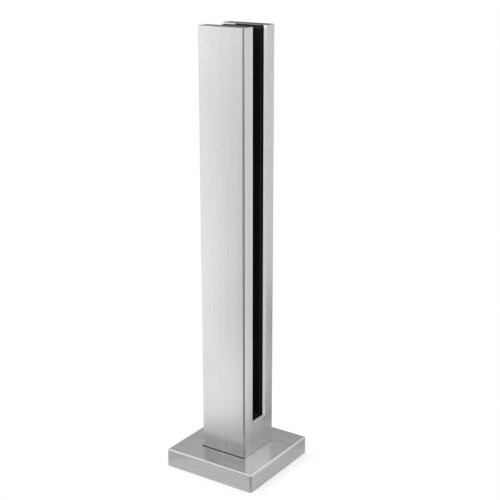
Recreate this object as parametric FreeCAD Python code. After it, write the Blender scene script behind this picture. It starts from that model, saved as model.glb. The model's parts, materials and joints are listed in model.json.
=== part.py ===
import FreeCAD, Part
import os

from FreeCAD import Vector

# Square slotted post for a glass pane, with a rubber lined slot and a loose cover over its foot.
# Millimetres, +Z up, origin at the centre of the anchor holes on the floor.
# The pane runs along X through the slot, and the front half of the post is on the -Y side.

# Post tube
POST_SIDE = 50.0
POST_WALL = 3.0
POST_CORNER = 2.0
BORE_CORNER = 1.0
POST_TOP = 430.0

# Slot for the pane
GLASS = 12.0
GLASS_PLAY = 0.2
RUBBER = 4.8
SLOT_FLOOR = 50.0
SLOT_CORNER = 1.0
LINER_CORNER = 1.0
LINER_EDGE = 1.2
LINER_LEAD = 2.0
LINER_DROP = 1.5

# Sheet and plate inside the two halves
CHANNEL_SHEET = 2.0
CAP_THICKNESS = 3.0

# Base plate, its anchor holes and the weld at the foot.
# PLATE_ROOM is left between the plate and the skirt of a centred cover.
# ANCHOR_INSET runs from the plate's edge to a hole's centre.
PLATE_ROOM = 3.8
PLATE_THICKNESS = 8.0
PLATE_CORNER = 6.0
PLATE_CHAMFER = 1.0
ANCHOR_INSET = 10.5
ANCHOR_HOLE = 11.0
WELD_LEG = 4.0

# Base cover: clear of the post by COVER_PLAY all round when centred.
# It rests leaning to the front left, with COVER_LEAN left between it and the post's other two faces.
COVER_SIDE = 100.0
COVER_HEIGHT = 18.0
COVER_SHEET = 1.2
COVER_BEND = 1.6
COVER_CORNER = 2.0
COVER_PLAY = 0.6
COVER_LEAN = 0.2

# Sizes that follow from those above
SLOT_WIDTH = GLASS + 2 * (GLASS_PLAY + RUBBER)
GLASS_GAP = SLOT_WIDTH - 2 * RUBBER
BORE_SIDE = POST_SIDE - 2 * POST_WALL
CAP_UNDERSIDE = POST_TOP - CAP_THICKNESS
LINER_TOP = POST_TOP - LINER_DROP
COVER_SHIFT = COVER_PLAY - COVER_LEAN
PLATE_SIDE = COVER_SIDE - 2 * (COVER_SHEET + PLATE_ROOM)
ANCHOR_SPACING = PLATE_SIDE - 2 * ANCHOR_INSET

# How near two coordinates lie to count as one place when edges are picked
SAME_PLACE = 1e-4


def rounded_square(side, corner, z):
    """Closed outline of a square with rounded corners, centred on the Z axis at height z."""
    half = side / 2
    inner = half - corner
    edges = []
    for turn in range(4):
        start = Vector(half, -inner, z)
        end = Vector(half, inner, z)
        flat = Part.makeLine(start, end)
        arc = Part.makeCircle(corner, Vector(inner, inner, z), Vector(0, 0, 1), 0, 90)
        for edge in (flat, arc):
            edge.rotate(Vector(0, 0, 0), Vector(0, 0, 1), 90 * turn)
            edges.append(edge)
    return Part.Wire(edges)


def square_prism(side, corner, z, height):
    """Upright prism over a rounded square."""
    return Part.Face(rounded_square(side, corner, z)).extrude(Vector(0, 0, height))


def slot_block(width, floor, top, corner, length):
    """Block along X whose two lower edges are rounded: the space or the outside of a folded U."""
    block = Part.makeBox(length, width, top - floor, Vector(-length / 2, -width / 2, floor))
    lower = [e for e in block.Edges if runs_along_x(e) and abs(e.CenterOfMass.z - floor) < SAME_PLACE]
    return block.makeFillet(corner, lower)


def runs_along_x(edge):
    """True for a straight edge parallel to X."""
    first, last = edge.Vertexes[0].Point, edge.Vertexes[-1].Point
    return abs((last - first).x) > edge.Length - SAME_PLACE


def top_edges(solid):
    """Edges that lie wholly in the solid's highest plane."""
    top = solid.BoundBox.ZMax
    return [e for e in solid.Edges if abs(e.BoundBox.ZMin - top) < SAME_PLACE]


def make_post_tube():
    """Square tube standing on the base plate, slotted through both X sides from the top down."""
    length = POST_TOP - PLATE_THICKNESS
    tube = square_prism(POST_SIDE, POST_CORNER, PLATE_THICKNESS, length)
    tube = tube.cut(square_prism(BORE_SIDE, BORE_CORNER, PLATE_THICKNESS, length))
    return tube.cut(slot_block(SLOT_WIDTH, SLOT_FLOOR, POST_TOP, SLOT_CORNER, POST_SIDE))


def make_glazing_channel():
    """Folded U between the tube's slotted sides, flush with the slot's edges and floor."""
    outside = slot_block(SLOT_WIDTH + 2 * CHANNEL_SHEET, SLOT_FLOOR - CHANNEL_SHEET, CAP_UNDERSIDE,
                         SLOT_CORNER + CHANNEL_SHEET, BORE_SIDE)
    return outside.cut(slot_block(SLOT_WIDTH, SLOT_FLOOR, CAP_UNDERSIDE, SLOT_CORNER, BORE_SIDE))


def make_cap(side):
    """Plate that fills the tube's bore from the slot to the wall on one side, flush with the top."""
    depth = (BORE_SIDE - SLOT_WIDTH) / 2
    near = SLOT_WIDTH / 2 if side > 0 else -BORE_SIDE / 2
    half = Part.makeBox(BORE_SIDE, depth, CAP_THICKNESS, Vector(-BORE_SIDE / 2, near, CAP_UNDERSIDE))
    return half.common(square_prism(BORE_SIDE, BORE_CORNER, CAP_UNDERSIDE, CAP_THICKNESS))


def make_slot_liner():
    """Rubber strip folded into a U, with a lead-in at its top and eased edges along the pane."""
    seat = SLOT_FLOOR + RUBBER
    liner = slot_block(SLOT_WIDTH, SLOT_FLOOR, LINER_TOP, SLOT_CORNER, BORE_SIDE)
    liner = liner.cut(slot_block(GLASS_GAP, seat, LINER_TOP, LINER_CORNER, BORE_SIDE))
    cheek = SLOT_WIDTH / 2 - SAME_PLACE
    mouth = [e for e in top_edges(liner) if runs_along_x(e) and abs(e.CenterOfMass.y) < cheek]
    liner = liner.makeChamfer(LINER_LEAD, mouth)
    ends = []
    for edge in liner.Edges:
        box = edge.BoundBox
        at_end = abs(abs(box.XMin) - BORE_SIDE / 2) < SAME_PLACE and box.XLength < SAME_PLACE
        on_pane = max(abs(box.YMin), abs(box.YMax)) < GLASS_GAP / 2 + SAME_PLACE
        if at_end and on_pane and box.ZMin > seat - SAME_PLACE:
            ends.append(edge)
    return liner.makeFillet(LINER_EDGE, ends)


def make_base_plate():
    """Square plate on the floor with an anchor hole near each corner and a chamfered upper edge."""
    plate = square_prism(PLATE_SIDE, PLATE_CORNER, 0, PLATE_THICKNESS)
    plate = plate.makeChamfer(PLATE_CHAMFER, top_edges(plate))
    reach = ANCHOR_SPACING / 2
    for x in (-reach, reach):
        for y in (-reach, reach):
            hole = Part.makeCylinder(ANCHOR_HOLE / 2, PLATE_THICKNESS, Vector(x, y, 0))
            plate = plate.cut(hole)
    return plate


def make_base_weld():
    """Fillet weld of triangular section round the foot of the tube, on the base plate."""
    toe = rounded_square(POST_SIDE + 2 * WELD_LEG, POST_CORNER + WELD_LEG, PLATE_THICKNESS)
    crown = rounded_square(POST_SIDE, POST_CORNER, PLATE_THICKNESS + WELD_LEG)
    bead = Part.makeLoft([toe, crown], True, True)
    return bead.cut(square_prism(POST_SIDE, POST_CORNER, PLATE_THICKNESS, WELD_LEG))


def make_base_cover():
    """Pressed sheet cover: flat top with rounded edges, skirt down to the floor, hole for the post."""
    cover = square_prism(COVER_SIDE, COVER_CORNER, 0, COVER_HEIGHT)
    cover = cover.makeFillet(COVER_BEND, top_edges(cover))
    ceiling = COVER_HEIGHT - COVER_SHEET
    inside = square_prism(COVER_SIDE - 2 * COVER_SHEET, COVER_CORNER - COVER_SHEET, 0, ceiling)
    inside = inside.makeFillet(COVER_BEND - COVER_SHEET, top_edges(inside))
    cover = cover.cut(inside)
    cover = cover.cut(square_prism(POST_SIDE + 2 * COVER_PLAY, POST_CORNER, 0, COVER_HEIGHT))
    cover.translate(Vector(-COVER_SHIFT, -COVER_SHIFT, 0))
    return cover


os.makedirs("parts", exist_ok=True)
make_post_tube().exportStep("parts/post_tube.step")
make_glazing_channel().exportStep("parts/glazing_channel.step")
make_cap(-1).exportStep("parts/front_cap.step")
make_cap(1).exportStep("parts/rear_cap.step")
make_slot_liner().exportStep("parts/slot_liner.step")
make_base_plate().exportStep("parts/base_plate.step")
make_base_weld().exportStep("parts/base_weld.step")
make_base_cover().exportStep("parts/base_cover.step")
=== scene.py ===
import json
import math

import bmesh
import bpy
from bpy.props import FloatProperty, FloatVectorProperty, PointerProperty
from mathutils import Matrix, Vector


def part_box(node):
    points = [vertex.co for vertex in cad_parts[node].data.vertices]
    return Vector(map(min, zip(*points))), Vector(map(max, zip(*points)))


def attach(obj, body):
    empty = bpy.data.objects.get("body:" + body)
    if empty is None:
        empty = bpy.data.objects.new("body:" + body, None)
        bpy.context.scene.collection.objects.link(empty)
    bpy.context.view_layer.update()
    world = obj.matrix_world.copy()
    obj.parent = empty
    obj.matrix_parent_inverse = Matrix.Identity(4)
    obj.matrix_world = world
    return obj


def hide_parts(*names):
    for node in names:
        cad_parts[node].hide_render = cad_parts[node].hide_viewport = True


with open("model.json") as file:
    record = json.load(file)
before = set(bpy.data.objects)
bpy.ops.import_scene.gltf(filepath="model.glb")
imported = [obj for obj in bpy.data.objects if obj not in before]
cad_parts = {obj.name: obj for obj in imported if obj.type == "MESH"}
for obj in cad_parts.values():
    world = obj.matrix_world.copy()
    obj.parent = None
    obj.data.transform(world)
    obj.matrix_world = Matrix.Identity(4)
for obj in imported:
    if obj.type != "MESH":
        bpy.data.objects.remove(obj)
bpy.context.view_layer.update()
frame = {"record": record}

bl_info = {
    "name": "Glass balustrade post",
    "version": (1, 0, 0),
    "blender": (4, 5, 0),
    "location": "View3D > Sidebar > Balustrade",
    "description": "Slotted stainless post with a rubber lining and a loose foot cover",
    "category": "Add Mesh",
}

# Axes by number
X, Y, Z = 0, 1, 2

# Boxes of the solids that the pieces are measured from
TUBE_LOW, TUBE_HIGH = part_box("post_tube")
LINING_LOW, LINING_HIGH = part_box("slot_liner")
CHANNEL_LOW, CHANNEL_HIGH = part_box("glazing_channel")
PLATE_LOW, PLATE_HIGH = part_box("base_plate")
WELD_LOW, WELD_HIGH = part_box("base_weld")
COVER_LOW, COVER_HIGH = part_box("base_cover")

# Anchor holes as the record gives them, in millimetres
MILLIMETRE = 0.001
ANCHORS = next(mount["dims"] for mount in frame["record"]["mounts"] if mount["name"] == "anchor_holes")

# Places this near in metres count as one, and corners this near are merged
SAME_PLACE = 2e-5
MERGED = 1e-6

# Share of its length that a straight edge has along its axis
STRAIGHT = 0.999

# Facets round an upright corner, a fold, a small round, an eased edge, a chamfer and a drilled hole
CORNER_FACETS = 6
FOLD_FACETS = 5
ROUND_FACETS = 4
EASED_FACETS = 2
CHAMFER_FACETS = 1
HOLE_FACETS = 40

# Angles past which an edge is eased, and past which it is shaded sharp
EASED_ANGLE = math.radians(60)
SHARP_ANGLE = math.radians(50)

# How far large faces outweigh small ones in the shading of an edge
FACE_WEIGHT = 80

# Cuts along the weld's bead, steps to one of its ripples, and waves of the band texture in a run of two pi
BEAD_CUTS = 5
RIPPLE_STEPS = 5
BAND_WAVES = 10.0

# Limits within which noise is spread to the full range, and how rough its detail is
NOISE_LOW, NOISE_HIGH = 0.28, 0.72
NOISE_ROUGHNESS = 0.6

# Metres past the slot's sides, and short of its mouth, over which the finish of the cut edges sets in
CUT_NEAR = 0.0001
CUT_FAR = 0.0005

# Height in metres of the brushed lines on the cover, and the fall of its crowned top to the metre outwards
COVER_LINE = 0.000004
COVER_CROWN = 0.025

# How far a face looks along an axis, or between two, from 0 to 1, where one finish passes into another
CUT_TURN = (0.7, 0.5)
SEAT_TURN = (0.5, 0.8)
SIDE_TURN = (0.6, 0.75)
EDGE_HIGHLIGHT_TURN = (0.1, 0.3)
SHADED_END_TURN = (0.93, 0.99)


# Sizes and colours that a user would change


def length(label, words, default):
    """A length property in metres."""
    return FloatProperty(name=label, description=words, default=default, min=0.0, precision=5,
                         unit="LENGTH", subtype="DISTANCE")


def shade(label, words, default):
    """A grey or colour property."""
    return FloatVectorProperty(name=label, description=words, default=default, min=0.0, max=1.0,
                               size=3, subtype="COLOR")


class PostSizes(bpy.types.PropertyGroup):
    """Sizes of the tube, its slot and the sheet and rubber inside it."""

    wall: length("Tube wall", "Thickness of the tube's wall", TUBE_HIGH.x - LINING_HIGH.x)
    corner: length("Tube corner", "Outer radius of the tube's upright corners", 0.002)
    bore_corner: length("Bore corner", "Inner radius of the tube's upright corners", 0.001)
    slot_corner: length("Slot corner", "Radius at the two lower corners of the slot", 0.001)
    edge: length("Eased edge", "Width of the eased edges on cut metal", 0.0002)
    sheet: length("Channel sheet", "Thickness of the folded channel", CHANNEL_HIGH.y - LINING_HIGH.y)
    rubber: length("Rubber", "Thickness of the rubber lining", 0.0048)
    rubber_edge: length("Rubber edge", "Radius of the lining's edges along the pane", 0.0012)
    rubber_lead: length("Rubber lead-in", "Chamfer at the lining's mouth", 0.002)


class FootSizes(bpy.types.PropertyGroup):
    """Sizes of the anchor plate, the weld and the cover."""

    plate_corner: length("Plate corner", "Radius of the anchor plate's corners", 0.006)
    plate_chamfer: length("Plate chamfer", "Chamfer round the anchor plate's upper edge", 0.001)
    hole: length("Anchor hole", "Diameter of an anchor hole", 2 * ANCHORS["hole_r_mm"] * MILLIMETRE)
    spacing: length("Anchor spacing", "From one anchor hole to the next",
                    ANCHORS["spacing_x_mm"] * MILLIMETRE)
    weld: length("Weld leg", "Leg of the fillet weld round the foot", WELD_HIGH.x - TUBE_HIGH.x)
    ripple: length("Weld ripple", "From one ripple of the bead to the next", 0.002)
    ripple_depth: length("Ripple depth", "Depth of the bead's ripples", 0.0003)
    cover_sheet: length("Cover sheet", "Thickness of the pressed cover", 0.0012)
    cover_bend: length("Cover bend", "Outer radius of the cover's upper edges", 0.0016)
    cover_corner: length("Cover corner", "Outer radius of the cover's upright corners", 0.002)
    cover_play: length("Cover play", "Room round the tube in a centred cover's hole", 0.0006)


class FinishColours(bpy.types.PropertyGroup):
    """Colours of the finishes and the studio floor."""

    steel_light: shade("Steel, light", "Brighter streaks of the brushed steel", (0.87, 0.87, 0.87))
    steel_dark: shade("Steel, dark", "Darker streaks of the brushed steel", (0.74, 0.74, 0.74))
    cut_edge: shade("Cut edge", "Matt deburred edges of the slot", (0.86, 0.86, 0.86))
    # Painted shade: the slot's lower edge is darker than the cut edges beside it.
    shaded_cut_seat: shade("Cut seat", "Matt lower edge of the slot", (0.5, 0.5, 0.5))
    mill: shade("Mill finish", "Plain steel that is hidden in use", (0.5, 0.5, 0.49))
    bead: shade("Weld bead", "Cleaned weld metal", (0.42, 0.41, 0.4))
    heat: shade("Heat tint", "Straw tint left on the weld metal", (0.399, 0.328, 0.248))
    rubber: shade("Rubber", "Black rubber of the lining", (0.003, 0.003, 0.003))
    floor: shade("Floor", "Pale studio floor", (0.9, 0.9, 0.9))


# Shader nodes


class Socket:
    """A shader socket. Arithmetic on it adds Math nodes to its tree."""

    def __init__(self, finish, socket):
        self.finish = finish
        self.socket = socket

    def other(self, name):
        """Another output of the same node."""
        return Socket(self.finish, self.socket.node.outputs[name])

    def math(self, operation, first, second):
        """A Math node on two values."""
        return self.finish.add("ShaderNodeMath", {"operation": operation}, {0: first, 1: second})

    def __add__(self, value):
        return self.math("ADD", self, value)

    def __radd__(self, value):
        return self.math("ADD", value, self)

    def __sub__(self, value):
        return self.math("SUBTRACT", self, value)

    def __rsub__(self, value):
        return self.math("SUBTRACT", value, self)

    def __mul__(self, value):
        return self.math("MULTIPLY", self, value)

    def __rmul__(self, value):
        return self.math("MULTIPLY", value, self)

    def __abs__(self):
        return self.math("ABSOLUTE", self, 0.0)


class Finish:
    """Node tree of one material or of the world."""

    def __init__(self, owner):
        owner.use_nodes = True
        self.tree = owner.node_tree
        self.tree.nodes.clear()

    def add(self, kind, settings=None, inputs=None, output=0):
        """Adds a node: its settings first, then its sockets' values or links. Returns one output."""
        node = self.tree.nodes.new(kind)
        for key, value in (settings or {}).items():
            if key == "stops":
                self.set_stops(node.color_ramp, value)
            else:
                setattr(node, key, value)
        for key, value in (inputs or {}).items():
            if isinstance(value, Socket):
                self.tree.links.new(value.socket, node.inputs[key])
            else:
                node.inputs[key].default_value = value
        return Socket(self, node.outputs[output]) if node.outputs else None

    @staticmethod
    def set_stops(ramp, stops):
        """Places the ramp's stops, each a position and a grey."""
        while len(ramp.elements) < len(stops):
            ramp.elements.new(1.0)
        for element, (position, grey) in zip(ramp.elements, stops):
            element.position = position
            element.color = (grey, grey, grey, 1.0)

    def place(self):
        """Where a point lies on its piece. Its other output Normal says how it faces."""
        return self.add("ShaderNodeTexCoord", None, None, "Object")

    def split(self, vector):
        """X of a vector. Its other outputs are Y and Z."""
        return self.add("ShaderNodeSeparateXYZ", None, {"Vector": vector}, "X")

    def away(self, place):
        """Distance of a place from the origin."""
        return self.add("ShaderNodeVectorMath", {"operation": "LENGTH"}, {0: place}, "Value")

    def bearing(self, place, about):
        """Compass bearing of a place about a point, 0 to 1 from -X through -Y, +X and +Y."""
        apart = self.add("ShaderNodeVectorMath", {"operation": "SUBTRACT"}, {0: place, 1: about}, "Vector")
        east = self.split(apart)
        angle = east.math("ARCTAN2", east.other("Y"), east)
        return angle * (0.5 / math.pi) + 0.5

    def rise(self, value, low, high, course="SMOOTHSTEP"):
        """Rise from 0 at low to 1 at high, eased unless its course is LINEAR."""
        return self.add("ShaderNodeMapRange", {"interpolation_type": course},
                        {"Value": value, "From Min": low, "From Max": high})

    def grain(self, place, axis, across, along, detail=3.0):
        """Noise from 0 to 1 with so many cells to the metre across an axis and along it."""
        cells = [across, across, across]
        cells[axis] = along
        drawn = self.add("ShaderNodeMapping", {"vector_type": "POINT"}, {"Vector": place, "Scale": cells})
        noise = self.add("ShaderNodeTexNoise", {"noise_dimensions": "3D"},
                         {"Vector": drawn, "Scale": 1.0, "Detail": detail, "Roughness": NOISE_ROUGHNESS})
        return self.rise(noise, NOISE_LOW, NOISE_HIGH, "LINEAR")

    def blend(self, share, first, second, kind="MIX"):
        """Two colours mixed by share, or multiplied where the kind is MULTIPLY."""
        return self.add("ShaderNodeMix", {"data_type": "RGBA", "blend_type": kind},
                        {0: share, 6: first, 7: second}, output=2)

    def ramp(self, share, stops):
        """Grey at a share of the way along its stops."""
        return self.add("ShaderNodeValToRGB", {"stops": stops}, {"Fac": share}, "Color")

    def bump(self, height, depth, strength=1.0):
        """Normal over a relief whose height of 1 is so deep, in metres."""
        return self.add("ShaderNodeBump", None, {"Height": height, "Distance": depth, "Strength": strength})

    def surface(self, shader):
        """Ends the material in a shader."""
        self.add("ShaderNodeOutputMaterial", None, {"Surface": shader})


def rgba(colour, share=1.0):
    """A colour at a share of its brightness, with full alpha."""
    return (share * colour[0], share * colour[1], share * colour[2], 1.0)


# Finishes, each as the values and links of a Principled shader


def post_steel(finish, colours):
    """Satin stainless steel, brushed along the post, with matt deburred edges in the slot and painted shade
    on its lower edge.
    """
    place = finish.place()
    lines = finish.grain(place, Z, across=3200.0, along=28.0)
    bands = finish.grain(place, Z, across=420.0, along=5.0)
    handled = finish.grain(place, Z, across=18.0, along=9.0, detail=4.0)
    at = finish.split(place)
    facing = finish.split(place.other("Normal"))
    inside = finish.rise(abs(at.other("Y")), LINING_HIGH.y + CUT_FAR, LINING_HIGH.y + CUT_NEAR)
    mouth = finish.rise(abs(at), LINING_HIGH.x - CUT_NEAR, LINING_HIGH.x)
    cut = inside * mouth * finish.rise(abs(facing), *CUT_TURN)
    lip = inside * (1.0 - mouth)
    seat = finish.rise(facing.other("Z"), *SEAT_TURN)
    streaks = lines * 0.5 + bands * 0.5
    brushed = finish.blend(streaks, rgba(colours.steel_dark), rgba(colours.steel_light))
    # Painted shade: where the cut faces look up, at the slot's lower edge, they are darker.
    deburred = finish.blend(seat, rgba(colours.cut_edge), rgba(colours.shaded_cut_seat))
    satin = 0.14 + lines * 0.1 + bands * 0.04 + handled * 0.04
    return {
        "Base Color": finish.blend(cut, brushed, deburred),
        "Metallic": 1.0 - cut,
        "Roughness": satin * (1.0 - lip * 0.7) + cut * (0.3 + seat * 0.15),
        "Anisotropic": 0.4,
        "Normal": finish.bump(lines, depth=0.00001, strength=0.4),
    }


def cover_steel(finish, colours):
    """Satin stainless steel, brushed along each side of the cover, with a shallow crown to its top."""
    place = finish.place()
    facing = finish.split(place.other("Normal"))
    turned = finish.rise(abs(facing), *SIDE_TURN, "LINEAR")

    def brushed(across, along):
        """Grain along X, and along Y on the sides that face X."""
        return (finish.grain(place, X, across, along) * (1.0 - turned)
                + finish.grain(place, Y, across, along) * turned)

    lines = brushed(across=3200.0, along=28.0)
    bands = brushed(across=420.0, along=18.0)
    streaks = lines * 0.25 + bands * 0.75
    level = finish.add("ShaderNodeVectorMath", {"operation": "MULTIPLY"},
                       {0: place, 1: (1.0, 1.0, 0.0)}, "Vector")
    relief = lines * COVER_LINE - finish.away(level) * COVER_CROWN
    return {
        "Base Color": finish.blend(streaks, rgba(colours.steel_dark), rgba(colours.steel_light)),
        "Metallic": 1.0,
        "Roughness": 0.1 + lines * 0.08 + bands * 0.06,
        "Normal": finish.bump(relief, depth=1.0),
    }


def mill_steel(finish, colours):
    """Plain rolled steel with a faint mottle."""
    place = finish.place()
    mottle = finish.grain(place, Z, across=240.0, along=240.0, detail=5.0)
    rolled = finish.grain(place, Y, across=900.0, along=40.0)
    return {
        "Base Color": finish.blend(mottle, rgba(colours.mill, 0.82), rgba(colours.mill)),
        "Metallic": 1.0,
        "Roughness": 0.34 + mottle * 0.16,
        "Normal": finish.bump(rolled + mottle, depth=0.00005, strength=0.4),
    }


def bead_steel(finish, colours):
    """Weld metal with fine ripples and a little heat tint."""
    place = finish.place()
    ripple = finish.grain(place, Z, across=520.0, along=120.0, detail=2.0)
    tint = finish.grain(place, Z, across=90.0, along=300.0, detail=4.0)
    return {
        "Base Color": finish.blend(tint * 0.4, rgba(colours.bead), rgba(colours.heat)),
        "Metallic": 1.0,
        "Roughness": 0.36 + ripple * 0.2,
        "Normal": finish.bump(ripple, depth=0.0001, strength=0.4),
    }


def lining_rubber(finish, colours):
    """Matt black extruded rubber with drawn lines and a dusty bloom, its rounded edges lighter as painted
    highlight and the faces at its cut end darker as painted shade.
    """
    place = finish.place()
    drawn = finish.grain(place, Z, across=1500.0, along=30.0)
    pores = finish.grain(place, Z, across=2600.0, along=2600.0, detail=4.0)
    bloom = finish.grain(place, Z, across=60.0, along=25.0, detail=4.0)
    facing = finish.split(place.other("Normal"))
    # Painted highlight: the rounded edges along the pane, between X and Y, are lighter.
    edge_highlight = finish.rise(abs(facing) * abs(facing.other("Y")), *EDGE_HIGHLIGHT_TURN)
    # Painted shade: the faces at the cut end, facing X, are darker.
    shaded_ends = finish.rise(abs(facing), *SHADED_END_TURN)
    dusty = finish.blend(bloom * 0.7, rgba(colours.rubber), rgba(colours.rubber, 2.4))
    faces = finish.blend(shaded_ends, dusty, rgba(colours.rubber, 0.4))
    return {
        "Base Color": finish.blend(edge_highlight, faces, rgba(colours.rubber, 6.5)),
        "Roughness": 0.5 + pores * 0.2 + shaded_ends * 0.25,
        "Specular IOR Level": 0.1,
        "Normal": finish.bump(drawn * 0.6 + pores * 0.4, depth=0.00008, strength=0.5),
    }


RECIPES = (post_steel, cover_steel, mill_steel, bead_steel, lining_rubber)
FINISHES = {recipe.__name__: recipe for recipe in RECIPES}


def finish_named(name):
    """The material of that name, made the first time it is asked for."""
    material = bpy.data.materials.get(name)
    if material is None:
        material = bpy.data.materials.new(name)
        finish = Finish(material)
        inputs = FINISHES[name](finish, bpy.context.scene.finish_colours)
        finish.surface(finish.add("ShaderNodeBsdfPrincipled", None, inputs))
    return material


# Modelling steps


def clear_selection():
    """Leaves edit mode and deselects everything."""
    if bpy.context.object and bpy.context.object.mode != "OBJECT":
        bpy.ops.object.mode_set(mode="OBJECT")
    bpy.ops.object.select_all(action="DESELECT")


def open_piece(name):
    """Names the new primitive, puts its place in its mesh and opens it in edit mode."""
    piece = bpy.context.object
    piece.name = name
    piece.data.name = name
    bpy.ops.object.transform_apply(location=True, rotation=True, scale=True)
    bpy.ops.object.mode_set(mode="EDIT")
    return piece


def start_box(name, low, high):
    """Starts a piece as a box between two corners, in edit mode."""
    clear_selection()
    low = Vector(low)
    high = Vector(high)
    bpy.ops.mesh.primitive_cube_add(size=1.0, location=(low + high) / 2, scale=high - low)
    return open_piece(name)


def start_outline(name, width, radius, height):
    """Starts a piece as the outline of a rounded square round the Z axis, in edit mode."""
    clear_selection()
    bpy.ops.mesh.primitive_plane_add(size=width, location=(0.0, 0.0, height))
    piece = open_piece(name)
    round_outline(radius)
    return piece


def add_outline(width, radius, place):
    """Adds the outline of a rounded square to the piece in edit mode."""
    bpy.ops.mesh.primitive_plane_add(size=width, location=place)
    round_outline(radius)


def round_outline(radius):
    """Rounds the corners of the selected square and takes its face away."""
    bpy.ops.mesh.bevel(offset=radius, offset_type="OFFSET", segments=CORNER_FACETS, profile=0.5,
                       affect="VERTICES")
    bpy.ops.mesh.delete(type="ONLY_FACE")


def pick(kind, test):
    """Selects the edges or faces that pass a test, and nothing else, in edit mode."""
    bpy.ops.mesh.select_mode(type=kind)
    bpy.ops.mesh.select_all(action="DESELECT")
    data = bpy.context.edit_object.data
    mesh = bmesh.from_edit_mesh(data)
    chosen = [element for element in (mesh.edges if kind == "EDGE" else mesh.faces) if test(element)]
    if not chosen:
        raise RuntimeError(f"nothing to pick on {bpy.context.edit_object.name}")
    for element in chosen:
        element.select_set(True)
    mesh.select_flush_mode()
    bmesh.update_edit_mesh(data)


def lies_at(element, axis, value):
    """True if every corner has that coordinate."""
    return all(abs(corner.co[axis] - value) < SAME_PLACE for corner in element.verts)


def lies_at_either(element, axis, value):
    """True if the element lies at the coordinate or at its opposite."""
    return lies_at(element, axis, value) or lies_at(element, axis, -value)


def lies_within(element, axis, value):
    """True if no corner is further out along the axis than the value."""
    return all(abs(corner.co[axis]) < value + SAME_PLACE for corner in element.verts)


def lies_above(element, height):
    """True if no corner is lower than the height."""
    return all(corner.co.z > height - SAME_PLACE for corner in element.verts)


def runs_along(edge, axis):
    """True for a straight edge parallel to an axis."""
    run = edge.verts[1].co - edge.verts[0].co
    return abs(run[axis]) > STRAIGHT * run.length


def upright(edge):
    """True for a straight edge along Z."""
    return runs_along(edge, Z)


def at_height(height):
    """A test for the edges or faces that lie at a height."""
    return lambda element: lies_at(element, Z, height)


def fold_at(reach, height):
    """A test for the two edges along X at a height, this far either side of the middle."""
    return lambda edge: runs_along(edge, X) and lies_at(edge, Z, height) and lies_at_either(edge, Y, reach)


def mouth_at(reach, gap, seat):
    """A test for the edges of a slot at its two X ends: up its sides and along its floor."""
    return lambda edge: (lies_at_either(edge, X, reach) and lies_within(edge, Y, gap)
                         and lies_above(edge, seat))


def round_edges(test, radius, facets):
    """Rounds the edges that pass a test."""
    pick("EDGE", test)
    bpy.ops.mesh.bevel(offset=radius, offset_type="OFFSET", segments=facets, profile=0.5, affect="EDGES",
                       clamp_overlap=True)


def remove_faces(test, keep_edges):
    """Deletes the faces that pass a test, with or without the edges that only they use."""
    pick("FACE", test)
    bpy.ops.mesh.delete(type="ONLY_FACE" if keep_edges else "FACE")


def bridge(test, cuts=0):
    """Joins the edge loops that pass a test with new faces, cut into rows."""
    pick("EDGE", test)
    bpy.ops.mesh.bridge_edge_loops(number_cuts=cuts, interpolation="LINEAR")


def cut_across(axis, value):
    """Cuts every face at a plane across an axis."""
    bpy.ops.mesh.select_all(action="SELECT")
    point = Vector()
    point[axis] = value
    normal = Vector()
    normal[axis] = 1.0
    bpy.ops.mesh.bisect(plane_co=point, plane_no=normal)


def face_outwards():
    """Turns every face of the piece in edit mode outwards."""
    bpy.ops.mesh.select_all(action="SELECT")
    bpy.ops.mesh.normals_make_consistent(inside=False)


def apply_modifier(piece, kind, **settings):
    """Adds a modifier with its settings and applies it."""
    modifier = piece.modifiers.new(kind.lower(), kind)
    for key, value in settings.items():
        setattr(modifier, key, value)
    bpy.ops.object.modifier_apply(modifier=modifier.name)


def carve(piece, *tools):
    """Cuts the tools out of the piece in edit mode and takes them away."""
    bpy.ops.object.mode_set(mode="OBJECT")
    for tool in tools:
        apply_modifier(piece, "BOOLEAN", operation="DIFFERENCE", solver="EXACT", object=tool)
        bpy.data.objects.remove(tool)
    bpy.ops.object.mode_set(mode="EDIT")


def dress(piece, material, body, node, ease=0.0):
    """Closes the mesh, eases its sharp edges, shades it and gives it to its body."""
    bpy.ops.mesh.select_all(action="SELECT")
    bpy.ops.mesh.remove_doubles(threshold=MERGED)
    face_outwards()
    bpy.ops.object.mode_set(mode="OBJECT")
    if ease:
        apply_modifier(piece, "BEVEL", width=ease, segments=EASED_FACETS, limit_method="ANGLE",
                       angle_limit=EASED_ANGLE, use_clamp_overlap=True)
    bpy.ops.object.shade_smooth_by_angle(angle=SHARP_ANGLE)
    apply_modifier(piece, "WEIGHTED_NORMAL", weight=FACE_WEIGHT, keep_sharp=True)
    piece.data.materials.clear()
    piece.data.materials.append(finish_named(material))
    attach(piece, body)
    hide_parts(node)


# Pieces of the post


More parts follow.
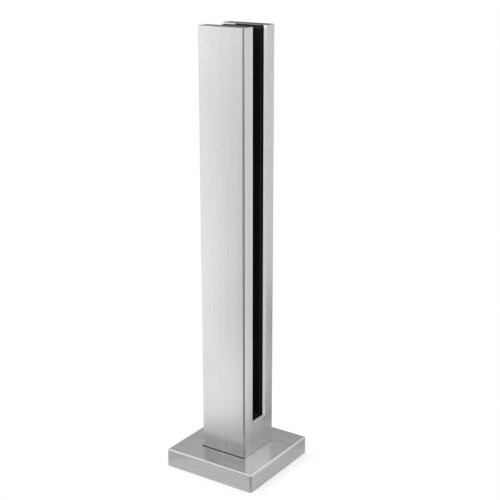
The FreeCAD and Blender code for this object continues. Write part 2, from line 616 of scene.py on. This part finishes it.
class BALUSTRADE_OT_tube(bpy.types.Operator):
    """Square tube with rounded corners, slotted through two sides from the top down"""

    bl_idname = "balustrade.tube"
    bl_label = "Post tube"

    def execute(self, context):
        sizes = context.scene.post_sizes
        outer = TUBE_HIGH.x
        inner = outer - sizes.wall
        foot, top = TUBE_LOW.z, TUBE_HIGH.z
        half_slot, floor = LINING_HIGH.y, LINING_LOW.z
        past = sizes.wall
        bore = start_box("bore", (-inner, -inner, foot - past), (inner, inner, top + past))
        round_edges(upright, sizes.bore_corner, CORNER_FACETS)
        slot = start_box("slot", (-outer - past, -half_slot, floor), (outer + past, half_slot, top + past))
        round_edges(fold_at(half_slot, floor), sizes.slot_corner, FOLD_FACETS)
        tube = start_box("tube_shell", TUBE_LOW, TUBE_HIGH)
        round_edges(upright, sizes.corner, CORNER_FACETS)
        carve(tube, bore, slot)
        lip = fold_at(half_slot, top)
        mouth = mouth_at(outer, half_slot, floor)

        def in_wall(corner):
            return max(abs(corner.co.x), abs(corner.co.y)) > inner + SAME_PLACE

        def eased(edge):
            rim = lies_at(edge, Z, top) and all(in_wall(corner) for corner in edge.verts)
            return rim or lip(edge) or mouth(edge)

        round_edges(eased, sizes.edge, EASED_FACETS)
        dress(tube, "post_steel", "post", "post_tube")
        return {"FINISHED"}


def fold_u(name, low, high, gap, seat):
    """Starts a block with a slot cut down into it from its top and open at both X ends: a U seen end on."""
    block = start_box(name, low, high)
    cut_across(Y, gap)
    cut_across(Y, -gap)
    cut_across(Z, seat)

    def in_gap(face):
        middle = face.calc_center_median()
        return abs(middle.y) < gap and middle.z > seat

    remove_faces(in_gap, keep_edges=False)
    bridge(lambda edge: edge.is_boundary and not lies_at(edge, Z, high.z))
    return block


class BALUSTRADE_OT_channel(bpy.types.Operator):
    """Folded steel channel that closes the two halves of the tube towards the slot"""

    bl_idname = "balustrade.channel"
    bl_label = "Slot channel"

    def execute(self, context):
        sizes = context.scene.post_sizes
        gap, seat = LINING_HIGH.y, LINING_LOW.z
        channel = fold_u("slot_channel", CHANNEL_LOW, CHANNEL_HIGH, gap, seat)
        round_edges(fold_at(gap, seat), sizes.slot_corner, FOLD_FACETS)
        round_edges(fold_at(CHANNEL_HIGH.y, CHANNEL_LOW.z), sizes.slot_corner + sizes.sheet, FOLD_FACETS)
        dress(channel, "mill_steel", "post", "glazing_channel")
        return {"FINISHED"}


class BALUSTRADE_OT_lining(bpy.types.Operator):
    """Rubber strip folded into a U along the slot, with a lead-in at its mouth"""

    bl_idname = "balustrade.lining"
    bl_label = "Rubber lining"

    def execute(self, context):
        sizes = context.scene.post_sizes
        gap, seat = LINING_HIGH.y - sizes.rubber, LINING_LOW.z + sizes.rubber
        lining = fold_u("rubber_lining", LINING_LOW, LINING_HIGH, gap, seat)
        round_edges(fold_at(LINING_HIGH.y, LINING_LOW.z), sizes.slot_corner, ROUND_FACETS)
        round_edges(fold_at(gap, seat), sizes.bore_corner, ROUND_FACETS)
        round_edges(fold_at(gap, LINING_HIGH.z), sizes.rubber_lead, CHAMFER_FACETS)
        round_edges(mouth_at(LINING_HIGH.x, gap, seat), sizes.rubber_edge, ROUND_FACETS)
        dress(lining, "lining_rubber", "post", "slot_liner", sizes.edge)
        return {"FINISHED"}


class BALUSTRADE_OT_caps(bpy.types.Operator):
    """Plates that close the tops of the two halves, ground flush and eased along the slot"""

    bl_idname = "balustrade.caps"
    bl_label = "Top plates"

    def execute(self, context):
        sizes = context.scene.post_sizes

        def by_wall(edge):
            return upright(edge) and lies_at_either(edge, Y, TUBE_HIGH.y - sizes.wall)

        for name, node in (("front_top_plate", "front_cap"), ("rear_top_plate", "rear_cap")):
            low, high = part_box(node)
            plate = start_box(name, low, high)
            round_edges(by_wall, sizes.bore_corner, ROUND_FACETS)
            round_edges(fold_at(LINING_HIGH.y, high.z), sizes.edge, EASED_FACETS)
            dress(plate, "post_steel", "post", node)
        return {"FINISHED"}


class BALUSTRADE_OT_plate(bpy.types.Operator):
    """Anchor plate with rounded corners, a chamfered upper edge and a hole near each corner"""

    bl_idname = "balustrade.plate"
    bl_label = "Anchor plate"

    def execute(self, context):
        sizes = context.scene.foot_sizes
        reach = sizes.spacing / 2
        drills = [self.drill(x, y, sizes.hole) for x in (-reach, reach) for y in (-reach, reach)]
        plate = start_box("anchor_plate", PLATE_LOW, PLATE_HIGH)
        round_edges(upright, sizes.plate_corner, CORNER_FACETS)
        round_edges(at_height(PLATE_HIGH.z), sizes.plate_chamfer, CHAMFER_FACETS)
        carve(plate, *drills)
        dress(plate, "mill_steel", "post", "base_plate", context.scene.post_sizes.edge)
        return {"FINISHED"}

    @staticmethod
    def drill(x, y, width):
        """A round cutting tool through the plate and past both its faces."""
        clear_selection()
        bpy.ops.mesh.primitive_cylinder_add(vertices=HOLE_FACETS, radius=width / 2, depth=3 * PLATE_HIGH.z,
                                            location=(x, y, PLATE_HIGH.z / 2))
        return bpy.context.object


class BALUSTRADE_OT_weld(bpy.types.Operator):
    """Fillet weld round the foot of the tube, its bead rippled along its run"""

    bl_idname = "balustrade.weld"
    bl_label = "Foot weld"

    def execute(self, context):
        sizes = context.scene.foot_sizes
        width, corner = 2 * TUBE_HIGH.x, context.scene.post_sizes.corner
        low, high = WELD_LOW.z, WELD_HIGH.z
        weld = start_outline("foot_weld", width + 2 * sizes.weld, corner + sizes.weld, low)
        add_outline(width, corner, (0.0, 0.0, high))
        self.divide_runs(sizes)
        bridge(lambda edge: True, cuts=BEAD_CUTS)
        weld.vertex_groups.new(name="bead")
        bpy.ops.mesh.select_all(action="SELECT")
        bpy.ops.object.vertex_group_assign()
        pick("EDGE", lambda edge: edge.is_boundary)
        bpy.ops.object.vertex_group_remove_from()
        add_outline(width, corner, (0.0, 0.0, low))
        self.divide_runs(sizes)

        def on_heel(edge):
            on_tube = lies_within(edge, X, TUBE_HIGH.x) and lies_within(edge, Y, TUBE_HIGH.y)
            return on_tube and (lies_at(edge, Z, low) or lies_at(edge, Z, high))

        bridge(on_heel)
        bridge(at_height(low))
        face_outwards()
        bpy.ops.object.mode_set(mode="OBJECT")
        self.ripple(weld, sizes)
        bpy.ops.object.mode_set(mode="EDIT")
        dress(weld, "bead_steel", "post", "base_weld")
        return {"FINISHED"}

    @staticmethod
    def divide_runs(sizes):
        """Divides the straight runs of new outlines into the steps of their ripples."""
        pick("EDGE", lambda edge: edge.calc_length() > 2 * sizes.weld)
        ripples = 2 * TUBE_HIGH.x / sizes.ripple
        bpy.ops.mesh.subdivide(number_cuts=round(RIPPLE_STEPS * ripples))

    @staticmethod
    def ripple(weld, sizes):
        """Sinks waves into the bead, one to each drop of filler."""
        waves = bpy.data.textures.new("ripple", "WOOD")
        waves.wood_type = "BANDS"
        waves.noise_basis_2 = "SIN"
        pitch = bpy.data.objects.new("ripple_pitch", None)
        pitch.scale.xy = [sizes.ripple * BAND_WAVES / (2 * math.pi)] * 2
        bpy.context.scene.collection.objects.link(pitch)
        bpy.context.view_layer.update()
        apply_modifier(weld, "DISPLACE", texture=waves, texture_coords="OBJECT", texture_coords_object=pitch,
                       vertex_group="bead", direction="NORMAL", mid_level=1.0, strength=sizes.ripple_depth)
        bpy.data.objects.remove(pitch)
        bpy.data.textures.remove(waves)


class BALUSTRADE_OT_cover(bpy.types.Operator):
    """Pressed cover with rounded edges and a square hole, loose on the post"""

    bl_idname = "balustrade.cover"
    bl_label = "Foot cover"

    def execute(self, context):
        sizes = context.scene.foot_sizes
        post = context.scene.post_sizes
        centre = (COVER_LOW + COVER_HIGH) / 2
        foot, top = COVER_LOW.z, COVER_HIGH.z
        cover = start_box("foot_cover", COVER_LOW, COVER_HIGH)
        round_edges(upright, sizes.cover_corner, CORNER_FACETS)
        round_edges(at_height(top), sizes.cover_bend, FOLD_FACETS)
        remove_faces(lambda face: lies_at(face, Z, top) or lies_at(face, Z, foot), keep_edges=True)
        add_outline(2 * (TUBE_HIGH.x + sizes.cover_play), post.corner, (centre.x, centre.y, top))
        bridge(at_height(top))
        face_outwards()
        bpy.ops.object.mode_set(mode="OBJECT")
        apply_modifier(cover, "SOLIDIFY", thickness=sizes.cover_sheet, offset=-1.0, use_even_offset=True)
        bpy.ops.object.mode_set(mode="EDIT")

        def lower_rim(edge):
            return (lies_at(edge, Z, foot) and len(edge.link_faces) == 2
                    and edge.calc_face_angle() > EASED_ANGLE)

        round_edges(lower_rim, post.edge, EASED_FACETS)
        dress(cover, "cover_steel", "cover", "base_cover")
        return {"FINISHED"}


# Camera fitted to the photograph: place, turn, lens and sensor in millimetres, near and far limits
CAMERA_PLACE = (0.5602, -0.8105, 0.5182)
CAMERA_TURN = (math.radians(73.14), 0.0, math.radians(33.95))
CAMERA_LENS = 78.11
CAMERA_SENSOR = 36.0
CAMERA_NEAR, CAMERA_FAR = 0.01, 200.0

# Softboxes: name, place, watts and the height on the post that they are turned to
SOFT_BOXES = (
    ("key_light", (-1.1, -1.0, 1.3), 13.5, 0.2),
    ("fill_light", (1.1, -1.1, 1.1), 14.5, 0.2),
    ("back_light", (0.5, 1.3, 1.3), 7.5, 0.1),
)
SOFT_BOX_SIDE = 1.2

# Side of the floor, and the metres from the post over which it turns white
FLOOR_SIDE = 60.0
FLOOR_WHITE = (0.04, 0.26)

WHITE = (1.0, 1.0, 1.0, 1.0)


def by_bearing(*stops):
    """Ramp stops from pairs of bearing in degrees and grey."""
    return tuple(((angle + 180.0) / 360.0, grey) for angle, grey in stops)


# Bearings and greys that two rings share
RIGHT_WALLS = ((-98, 0.85), (-82, 0.55), (-70, 0.26), (-20, 0.26), (-8, 0.55), (8, 0.85), (46, 1.0),
               (56, 0.75), (66, 0.42))
REAR_WALLS = ((90, 0.44), (112, 0.32), (121, 0.39), (128, 0.42), (140, 0.44), (180, 0.42))

# Greys that the floor glows with in reflections, a painted reflection of studio walls, in rings from the
# cover outwards
PAINTED_REFLECTION_CLOSE = by_bearing((-180, 1.0), (-118, 1.0), (-108, 0.7), (38, 0.7), (48, 1.0), (60, 1.0), (84, 0.87),
                         (92, 0.87), (104, 1.0), (180, 1.0))
PAINTED_REFLECTION_NEAR = by_bearing((-180, 0.96), (-124, 0.96), (-114, 0.3), (10, 0.3), (30, 1.05), (54, 1.12),
                        (60.5, 0.2), (66, 0.46), (76, 0.36), (96, 0.55), (150, 0.6), (180, 0.96))
PAINTED_REFLECTION_MID = by_bearing((-180, 0.95), (-160, 1.1), (-136, 1.22), (-114, 0.26), (10, 0.26), (30, 1.05),
                       (54, 1.12), (60.5, 0.15), (76, 0.2), (96, 0.55), (150, 0.6), (180, 0.95))
PAINTED_REFLECTION_FAR = by_bearing((-180, 0.75), (-144, 0.9), (-131, 1.49), (-122, 0.34), (-110, 0.3), (10, 0.3),
                       (30, 0.8), (46, 1.0), (56, 0.75), (66, 0.42), (80, 0.42), (100, 0.55), (130, 0.6),
                       (180, 0.75))
PAINTED_REFLECTION_REMOTE = by_bearing((-180, 0.75), (-144, 0.9), (-130, 1.85), (-123, 0.35), (-112, 0.38), *RIGHT_WALLS,
                          (80, 0.42), (100, 0.55), (131, 0.6), (180, 0.75))

# Greys of the same studio in rings of the sky, from the horizon up
WALLS_LOW = by_bearing((-180, 0.75), (-144, 0.9), (-135, 1.46), (-121, 0.6), *RIGHT_WALLS, (96, 0.42),
                       (106, 0.02), (124, 0.02), (131, 0.6), (180, 0.75))
WALLS_HIGH = by_bearing((-180, 0.34), (-100, 0.34), (-90, 0.26), (10, 0.26), (26, 0.25), (70, 0.25),
                        *REAR_WALLS)
WALLS_TALL = by_bearing((-180, 0.32), (-100, 0.32), (-90, 0.26), (10, 0.26), (26, 0.88), (70, 0.88),
                        *REAR_WALLS)
OVERHEAD = by_bearing((-180, 1.05), (180, 1.05))

# Metres from the post over which the near floor takes over from the close one, and then each later ring
CLOSE_TO_NEAR = (0.09, 0.13)
FLOOR_RINGS = (((0.27, 0.42), PAINTED_REFLECTION_MID), ((0.44, 0.7), PAINTED_REFLECTION_FAR), ((2.0, 4.0), PAINTED_REFLECTION_REMOTE))

# Heights from 0 at the horizon to 1 overhead over which each ring of the sky takes over from the one below
SKY_RINGS = (((0.22, 0.42), WALLS_HIGH), ((0.43, 0.5), WALLS_TALL), ((0.5, 0.7), OVERHEAD))

# Shade on the mirrored floor round the cover, by metres from the post within its reach
SHADE_REACH = 0.25
SHADE_STEPS = ((0.05, 0.57), (0.0775, 0.57), (0.09, 0.46), (0.12, 0.7), (0.15, 0.93), (0.2, 1.0))
CONTACT_SHADE = tuple((metres / SHADE_REACH, grey) for metres, grey in SHADE_STEPS)


def soft_box(name, place, watts, aim):
    """A softbox turned towards a height on the post, not mirrored in the steel."""
    lamp = bpy.data.lights.new(name, "AREA")
    lamp.shape = "SQUARE"
    lamp.size = SOFT_BOX_SIDE
    lamp.energy = watts
    holder = bpy.data.objects.new(name, lamp)
    holder.location = place
    way = Vector((0.0, 0.0, aim)) - Vector(place)
    holder.rotation_euler = way.to_track_quat("-Z", "Y").to_euler()
    holder.visible_glossy = False
    bpy.context.scene.collection.objects.link(holder)


class BALUSTRADE_OT_stage(bpy.types.Operator):
    """Pale floor, soft studio light and the camera"""

    bl_idname = "balustrade.stage"
    bl_label = "Studio"

    def execute(self, context):
        scene = context.scene
        clear_selection()
        bpy.ops.mesh.primitive_plane_add(size=FLOOR_SIDE, location=(0.0, 0.0, COVER_LOW.z))
        floor = context.object
        floor.name = "studio_floor"
        floor.data.materials.append(self.floor_finish(scene.finish_colours))
        self.light_world(scene)
        for settings in SOFT_BOXES:
            soft_box(*settings)
        self.place_camera(scene)
        scene.view_settings.view_transform = "Standard"
        return {"FINISHED"}

    @staticmethod
    def floor_finish(colours):
        """Pale floor: keeps the post's shadow and is white away from it; in reflections it glows with
        painted walls and a painted shadow round the cover.
        """
        material = bpy.data.materials.new("studio_floor")
        finish = Finish(material)
        place = finish.place()
        away = finish.away(place)
        turn = finish.bearing(place, about=(TUBE_HIGH.x, TUBE_LOW.y, 0.0))
        close = finish.bearing(place, about=(COVER_HIGH.x, COVER_LOW.y, 0.0))
        walls = finish.ramp(turn, PAINTED_REFLECTION_NEAR)
        for span, ring in FLOOR_RINGS:
            walls = finish.blend(finish.rise(away, *span), walls, finish.ramp(turn, ring))
        walls = finish.blend(finish.rise(away, *CLOSE_TO_NEAR), finish.ramp(close, PAINTED_REFLECTION_CLOSE), walls)
        contact = finish.ramp(away * (1.0 / SHADE_REACH), CONTACT_SHADE)
        shaded = finish.blend(1.0, walls, contact, "MULTIPLY")
        paint = finish.add("ShaderNodeBsdfDiffuse", None, {"Color": rgba(colours.floor)})
        white = finish.add("ShaderNodeEmission", None, {"Color": WHITE})
        # Painted reflection: glossy rays see the floor glow with the painted walls times the painted shadow
        # round the cover.
        mirrored = finish.add("ShaderNodeEmission", None, {"Color": shaded})
        seen = finish.add("ShaderNodeLightPath", None, None, "Is Camera Ray")
        shown = (seen + seen.other("Is Transmission Ray")) * finish.rise(away, *FLOOR_WHITE)
        plain = finish.add("ShaderNodeMixShader", None, {"Fac": shown, 1: paint, 2: white})
        finish.surface(finish.add("ShaderNodeMixShader", None,
                                  {"Fac": seen.other("Is Glossy Ray"), 1: plain, 2: mirrored}))
        return material

    @staticmethod
    def light_world(scene):
        """White behind the object; bright and dark walls in reflections and as soft light."""
        world = bpy.data.worlds.new("studio_world")
        scene.world = world
        finish = Finish(world)
        way = finish.add("ShaderNodeTexCoord", None, None, "Generated")
        height = finish.split(way).other("Z")
        turn = finish.bearing(way, about=(0.0, 0.0, 0.0))
        walls = finish.ramp(turn, WALLS_LOW)
        for span, ring in SKY_RINGS:
            walls = finish.blend(finish.rise(height, *span), walls, finish.ramp(turn, ring))
        seen = finish.add("ShaderNodeLightPath", None, None, "Is Camera Ray")
        light = finish.add("ShaderNodeBackground", None, {"Color": finish.blend(seen, walls, WHITE)})
        finish.add("ShaderNodeOutputWorld", None, {"Surface": light})

    @staticmethod
    def place_camera(scene):
        """The camera at the photograph's viewing angle."""
        camera = bpy.data.objects.new("camera", bpy.data.cameras.new("camera"))
        camera.location = CAMERA_PLACE
        camera.rotation_euler = CAMERA_TURN
        camera.data.sensor_width = CAMERA_SENSOR
        camera.data.lens = CAMERA_LENS
        camera.data.clip_start = CAMERA_NEAR
        camera.data.clip_end = CAMERA_FAR
        scene.collection.objects.link(camera)
        scene.camera = camera


OPERATORS = (
    BALUSTRADE_OT_tube,
    BALUSTRADE_OT_channel,
    BALUSTRADE_OT_lining,
    BALUSTRADE_OT_caps,
    BALUSTRADE_OT_plate,
    BALUSTRADE_OT_weld,
    BALUSTRADE_OT_cover,
    BALUSTRADE_OT_stage,
)


class BALUSTRADE_PT_panel(bpy.types.Panel):
    """Lists the sizes, the colours and the pieces of the post"""

    bl_idname = "BALUSTRADE_PT_panel"
    bl_label = "Glass balustrade post"
    bl_space_type = "VIEW_3D"
    bl_region_type = "UI"
    bl_category = "Balustrade"

    def draw(self, context):
        for group in (context.scene.post_sizes, context.scene.foot_sizes, context.scene.finish_colours):
            box = self.layout.box()
            for key in group.__annotations__:
                box.prop(group, key)
        for operator in OPERATORS:
            self.layout.operator(operator.bl_idname)


CLASSES = (PostSizes, FootSizes, FinishColours, *OPERATORS, BALUSTRADE_PT_panel)


def register():
    for item in CLASSES:
        bpy.utils.register_class(item)
    bpy.types.Scene.post_sizes = PointerProperty(type=PostSizes)
    bpy.types.Scene.foot_sizes = PointerProperty(type=FootSizes)
    bpy.types.Scene.finish_colours = PointerProperty(type=FinishColours)


def unregister():
    del bpy.types.Scene.finish_colours
    del bpy.types.Scene.foot_sizes
    del bpy.types.Scene.post_sizes
    for item in reversed(CLASSES):
        bpy.utils.unregister_class(item)


def main():
    """Builds every piece and the studio."""
    register()
    bpy.ops.balustrade.tube()
    bpy.ops.balustrade.channel()
    bpy.ops.balustrade.lining()
    bpy.ops.balustrade.caps()
    bpy.ops.balustrade.plate()
    bpy.ops.balustrade.weld()
    bpy.ops.balustrade.cover()
    bpy.ops.balustrade.stage()
    bpy.context.view_layer.update()


if __name__ == "__main__":
    main()
